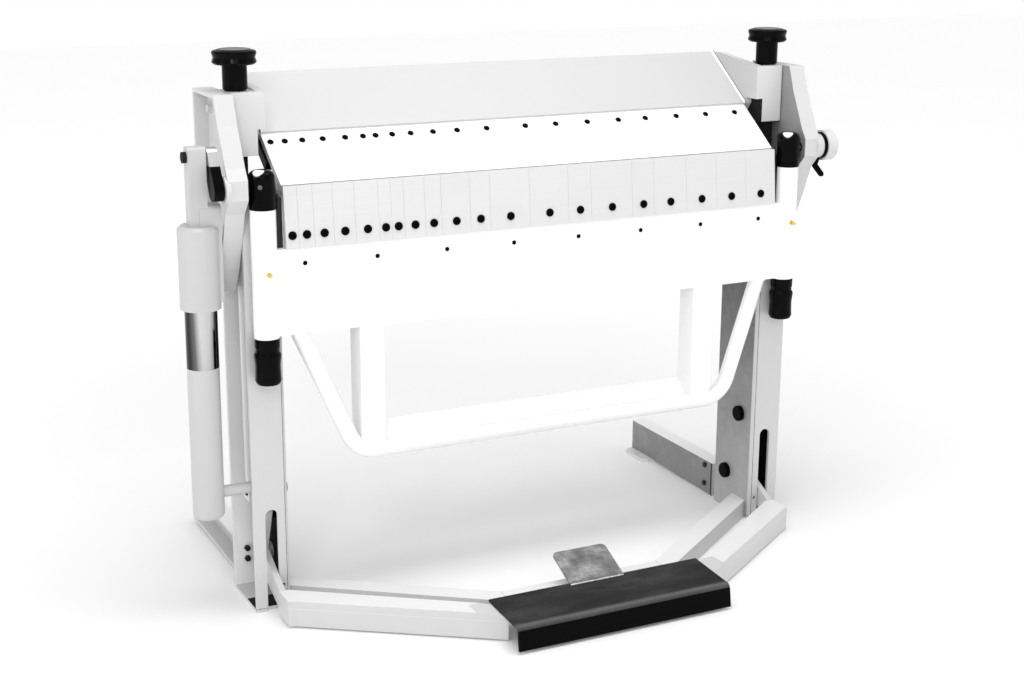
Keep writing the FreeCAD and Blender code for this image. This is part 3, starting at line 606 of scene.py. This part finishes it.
def prism(name, outline, tall):
    """Upright mesh on a flat outline of points, so many millimetres tall."""
    shape = bmesh.new()
    low = [shape.verts.new(point) for point in outline]
    high = [shape.verts.new(point + Vector((0, 0, tall / 1000))) for point in outline]
    shape.faces.new(low)
    shape.faces.new(high)
    for step, vertex in enumerate(low):
        nxt = (step + 1) % len(low)
        shape.faces.new((vertex, low[nxt], high[nxt], high[step]))
    mesh = bpy.data.meshes.new(name)
    shape.to_mesh(mesh)
    shape.free()
    return mesh


pointer = prism("spindle_pointer", flat_bar(at(657, 100, 1171), at(666, 137, 1171), 7), 3.5)
built("spindle_pointer", pointer, black_satin, "clamping_beam")

# A folded sheet behind the front flange of the right stand is painted shade: it
# closes the view through that stand's lever slot. It is black on all sides.
SHADE_SHEET_OUTLINE = [(688, 38), (706, 38), (708, 40), (708, 130), (705, 130), (705, 41), (688, 41)]
SHADE_SHEET_FOOT, SHADE_SHEET_TALL = 10, 242
# painted shade: this black sheet stands in for the shade inside the slot
shade_sheet = prism("slot_guard", [at(x, y, SHADE_SHEET_FOOT) for x, y in SHADE_SHEET_OUTLINE], SHADE_SHEET_TALL)
built("slot_guard", shade_sheet, black_satin, "frame")

# The pedal is bent from plate: a tread with a charcoal coat that shoes have
# scuffed, with a painted highlight along its nose and black on its front flange,
# and a bare steel tab for the toe, welded on behind it.
NOSE_LINE, NOSE_FADE, FLANGE_AHEAD = -0.407, 0.0125, -0.4165
tread_skin = Finish("tread_skin", IOR=1.14)
scuff = tread_skin.noise(9.0, 8.0, 0.7, tread_skin.stretched(0.4, 1.0, 1.0))
fine = tread_skin.noise(420.0, 3.0)
tread_skin.tone = tread_skin.ramp(scuff * 0.8 + fine * 0.2, (0.32, grey(0.010)),
                                  (0.50, grey(0.022)), (0.72, grey(0.065)))
# painted highlight: a paler band along the tread's nose
nose_highlight = (1 - (back(tread_skin) - NOSE_LINE).size() * (1 / NOSE_FADE)).clamped()
over(tread_skin, nose_highlight * (scuff + 0.2), grey(0.16))
over(tread_skin, back(tread_skin) < FLANGE_AHEAD, grey(0.001))
tread_skin.feed("Roughness", scuff * 0.25 + fine * 0.1 + 0.26)
tread_skin.bump(fine, 0.12, 0.0008)
dress(["tread"], tread_skin)

tab_steel = Finish("tab_steel", Metallic=0.75, IOR=1.8)
patches = tab_steel.noise(26.0, 6.0, 0.65)
brushed = tab_steel.noise(1.0, 3.0, 0.5, tab_steel.stretched(20.0, 700.0, 700.0))
tab_steel.feed("Base Color", tab_steel.ramp(patches * 0.75 + brushed * 0.25,
                                            (0.30, grey(0.08, 0.01)), (0.52, grey(0.22)),
                                            (0.72, grey(0.50))))
tab_steel.feed("Roughness", patches * 0.3 + 0.25)
tab_steel.bump(patches * 0.5 + brushed * 0.5, 0.15, 0.0006)
dress(["toe_tab"], tab_steel)

# Welds are rows of small overlapping ripples, 2.3 mm apart unless a seam says
# otherwise. The tab's weld is bright, and those of the bars, the levers and the
# frame lie under the machine's paint.
RIPPLE_PITCH = 2.3


def seam(start, end, out, size=1.0, pitch=RIPPLE_PITCH):
    """Places for the ripples of a weld along a straight joint."""
    count = max(2, round((end - start).length * 1000 / pitch))
    return [(start.lerp(end, step / (count - 1)), out, size) for step in range(count)]


def ring_seam(centre, r, drop, size=1.0):
    """Places for the ripples round an upright tube under a plate."""
    count = round(2 * math.pi * r / RIPPLE_PITCH)
    places = []
    for step in range(count):
        angle = 2 * math.pi * step / count
        way = Vector((math.cos(angle), math.sin(angle), 0))
        places.append((centre + way * r / 1000, way + Vector((0, 0, drop)), size))
    return places


ripple = lathe("weld_ripple", [(1.9, -0.6), (1.8, 0.3), (1.2, 1.0), (0.3, 1.3)], Vector(), 8)
weld_steel = Finish("weld_steel", Metallic=0.9, IOR=2.0)
heat = weld_steel.noise(90.0, 4.0)
weld_steel.feed("Base Color", weld_steel.ramp(heat, (0.3, grey(0.50, 0.02)), (0.7, grey(0.85))))
weld_steel.feed("Roughness", heat * 0.3 + 0.2)
tab_seam = seam(at(-67, -281, 69.5), at(67, -281, 69.5), Vector((0, -0.7, 0.7)), 1.5)
scattered("toe_tab_weld", ripple, tab_seam, weld_steel, "pedal", 11, 3.1, 0.3)
pedal_seams = []
for side in (-1, 1):
    for x, way in ((654.8, -1), (669.2, 1)):
        pedal_seams += seam(at(side * x, -16, 17), at(side * x, -16, 59),
                            Vector((way * side, -0.3, 0)), 1.2)
scattered("pedal_welds", ripple, pedal_seams, frame_paint, "pedal", 12, 3.1, 0.25)
frame_seams = []
for side in (-1, 1):
    frame_seams += seam(at(side * 206, -198, 46), at(side * 206, -244, 46), Vector((0, 0, 1)), 1.1)
    frame_seams += seam(at(side * 627, 52, 46), at(side * 627, 108, 46),
                        Vector((-side, 0, 1)), 1.3)
scattered("frame_welds", ripple, frame_seams, frame_paint, "frame", 13, 3.1, 0.25)

# The apron is one welded and white coated unit: tubes at the ends, a face plate
# and the tubular handle on two box struts. Behind the segments' ends the bar is
# painted black between them and the tubes, as painted shade in that gap.
BAR_ENDS, BAR_FRONT, PLATE_TOP = (0.6303, 0.6535), -0.0015, 0.8462
white_paint = paint("white_paint", 0.93, 0.02, 0.22, 0.3)
# painted shade: the bar's ends, seen in the gap beside the segments, are black
bar_end_shade = within(reach(white_paint), *BAR_ENDS) * (back(white_paint) > BAR_FRONT)
ink_and_shade(white_paint, bar_end_shade * (white_paint.axis("Z") > PLATE_TOP))
dress(["apron_frame", "handle"], white_paint)
dress(["apron_segments"], ground_steel("segment_steel", 0.70, 3.0, 500.0, 0.05))

STRUT_FRONT = -14.3
handle_seams = []
for side in (-1, 1):
    x0, x1 = side * 408, side * 462
    handle_seams += seam(at(x0, STRUT_FRONT, 374.5), at(x1, STRUT_FRONT, 374.5),
                         Vector((0, -1, 0.3)), 1.2)
    handle_seams += seam(at(x0, STRUT_FRONT, 655), at(x1, STRUT_FRONT, 655),
                         Vector((0, -1, -0.3)), 1.1)
    handle_seams += ring_seam(at(side * 600, 0, 654), 19.6, -0.6, 1.2)
scattered("handle_welds", ripple, handle_seams, white_paint, "apron", 14, 3.1, 0.25)

# The sloped panel meets the beam's cheeks in a fillet weld, ground smooth. It
# catches the light, and is coated whiter than the beam as a painted highlight.
cheek_seams = []
for side in (-1, 1):
    low, high = (at(side * 630, 0, 0) + Vector((0, y, z)) / 1000
                 for y, z in ((129, 1080), (282, 1191)))
    cheek_seams += seam(low, high, Vector((-side, -0.59, 0.81)), 2.3, 2.0)
# painted highlight: the weld takes the apron's white paint, paler than the beam around it
scattered("cheek_welds", ripple, cheek_seams, white_paint, "clamping_beam", 15, 3.1, 0.05)

# Black socket screws: one large button head under each segment, square on its
# leaning face, and a row of eight small ones through the face plate.
SMALL_SCREWS, SMALL_FIRST, SMALL_PITCH = 8, -586.7, 167.6
face_lean = Vector((0, -133, 13)).normalized()
apron_places = [(at(x, -19.2, 874.5), face_lean, 1.0) for x in segment_middles]
apron_places += [(at(SMALL_FIRST + SMALL_PITCH * count, -14.5, 811.5), Vector((0, -1, 0)), 0.53)
                 for count in range(SMALL_SCREWS)]
apron_screws = scattered("apron_screws_round", screw_mesh("apron_screw", 9.5, 4, 3.0, 2.4),
                         apron_places, black_satin, "apron", 7, 0.5)
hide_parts("apron_screws")

# Brass nipples in the fronts of the tubes, yellow passivated and a little dull.
brass = Finish("brass", Metallic=0.85, IOR=1.5)
tarnish = brass.noise(160.0, 4.0)
brass.feed("Base Color", brass.ramp(tarnish, (0.3, (0.60, 0.42, 0.05, 1)),
                                    (0.7, (0.85, 0.68, 0.12, 1))))
brass.feed("Roughness", tarnish * 0.25 + 0.15)
dress(["grease_nipples"], brass)

# Glossy black nuts under the tubes set the apron for the sheet's thickness: a
# collar, a groove for the fingers and a grip that flares at both ends.
NUT_PROFILE = [(0, 548.2), (21, 548.2), (25, 549.5), (28.9, 557), (28.2, 566), (27.4, 590),
               (28.6, 602), (29.9, 612), (29.2, 617), (26.2, 621), (25.8, 628), (27.4, 632),
               (27.4, 652.4), (0, 652.4)]
TUBE_X, TUBE_Y = 674, -3
for side, label in ((-1, "left"), (1, "right")):
    mesh = lathe("adjust_knob_" + label, softened(NUT_PROFILE, 1.2),
                 at(side * TUBE_X, TUBE_Y, 0))
    nut = built("adjust_knob_turned_" + label, mesh, black_gloss, "adjust_knob_" + label)
    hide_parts("adjust_knob_" + label)

# The domed heads of the hinge are turned steel with a glossy black coat and a
# painted highlight on each crown, towards the front and left. A set screw holds each
# to its shaft, in front on the left one and outboard on the right one.
HIGHLIGHT_BACK, HIGHLIGHT_RADIUS, CROWN_ABOVE = -0.0145, 0.0130, 1.0
DOME_RADIUS = 0.0288
dome_skin = black("dome_skin", 0.12)
fore_way = back(dome_skin) - HIGHLIGHT_BACK
# painted highlight: a near white patch on the front of each dome's crown
for highlight_x in (-0.684, 0.664):
    side_way = dome_skin.axis("X") - (middle_x + highlight_x)
    inward = 1 - (side_way * side_way + fore_way * fore_way) * (1 / HIGHLIGHT_RADIUS ** 2)
    crown = dome_skin.axis("Z") > CROWN_ABOVE
    over(dome_skin, (inward * 3.0).clamped() * crown, grey(0.92))
dress(["hinge_head_left", "hinge_head_right"], dome_skin)
left_way, right_way = Vector((-0.43, -0.90, 0)), Vector((0.86, -0.51, 0))
head_places = [(at(-TUBE_X, TUBE_Y, 985) + left_way * DOME_RADIUS, left_way, 0.62),
               (at(TUBE_X, TUBE_Y, 981) + right_way * DOME_RADIUS, right_way, 0.62)]
scattered("hinge_head_screws", screw_mesh("head_screw", 8, 2.4, 3.4, 2.0), head_places,
          black("set_screw_skin", 0.3, 0.06, 1.5), "hinge", 9, 0.5)

# On the right end of the hinge a light moulded disc and a black lever set the
# stop for the bending angle.
disc_skin = Finish("stop_disc_skin", Roughness=0.4)
speckle = disc_skin.noise(200.0, 3.0)
disc_skin.feed("Base Color", disc_skin.ramp(speckle, (0.3, grey(0.60)), (0.7, grey(0.67))))
disc_skin.bump(speckle, 0.05, 0.0005)
dress(["stop_disc"], disc_skin)
dress(["stop_lever"], black_satin)

# The counterbalance hangs outside the left stand. A bright drawn tube on its
# foot pin, painted at its foot, holds the spring; its colour is a painted
# reflection, dark at both sides and light ahead. The painted bell over it, with a
# black bolt, is pulled by the black crank on the hinge shaft, whose eye is light
# grey metal, partly a painted highlight on the crank's top.
SPRING_X, SPRING_Y, SPRING_RADIUS = -0.804, 0.045, 0.035
PAINT_TOP, FOOT_BAR_X = 0.590, -0.766
BOLT_OUTER, BOLT_ABOVE, EYE_ABOVE = -0.8234, 0.95, 1.03
tube_steel = Finish("tube_steel", Metallic=1.0)
drawn = tube_steel.noise(1.0, 4.0, 0.5, tube_steel.stretched(90.0, 90.0, 2.0))
fore = (back(tube_steel) - SPRING_Y) * (1 / SPRING_RADIUS)
tube_x = tube_steel.axis("X")
sideways = (tube_x - (middle_x + SPRING_X)) * (1 / SPRING_RADIUS)
# painted reflection: the colour is dark at the tube's sides and light at its front
tube_steel.tone = tube_steel.ramp(fore * fore - sideways * 0.12 + drawn * 0.16 - 0.08,
                                  (0.0, grey(0.004)), (0.30, grey(0.04)), (0.6, grey(0.12)),
                                  (0.95, grey(0.52)))
painted = (tube_steel.axis("Z") < PAINT_TOP) + (tube_x > middle_x + FOOT_BAR_X)
painted = painted.clamped()
over(tube_steel, painted, grey(0.52))
tube_steel.feed("Metallic", 1 - painted)
tube_steel.feed("Roughness", drawn * 0.10 + painted * 0.2 + 0.12)
dress(["spring_tube"], tube_steel)
bell_paint = paint("bell_paint", 0.51)
bolt_head = (bell_paint.axis("X") < middle_x + BOLT_OUTER) * (bell_paint.axis("Z") > BOLT_ABOVE)
ink_and_shade(bell_paint, bolt_head)
dress(["spring_housing"], bell_paint)
crank_skin = black("crank_skin", 0.16)
# partly painted highlight: the crank's top, around its eye, is light grey metal
eye = crank_skin.axis("Z") > EYE_ABOVE
over(crank_skin, eye, grey(0.62))
crank_skin.feed("Metallic", eye * 0.8)
dress(["crank_arm"], crank_skin)
dress(["pull_rod"], ground_steel("rod_steel", 0.55, 600.0, 6.0, 0.9))

# The coil spring inside the tube is oiled spring steel, with painted shade
# between its turns, which lie 7 millimetres apart.
TURN_PITCH = 0.0069813
spring_steel = Finish("spring_steel", Metallic=0.6)
turns = spring_steel.node("ShaderNodeMath", {"operation": "SINE"},
                          {0: spring_steel.axis("Z") * (2 * math.pi / TURN_PITCH)})
# painted shade: the colour darkens between the turns
spring_steel.feed("Base Color", spring_steel.ramp(turns * 0.5 + 0.5, (0.2, grey(0.01)),
                                                  (0.8, grey(0.22))))
spring_steel.feed("Roughness", spring_steel.noise(60.0) * 0.2 + 0.25)
spring_steel.bump(turns, 0.8, 0.002)
dress(["balance_spring"], spring_steel)
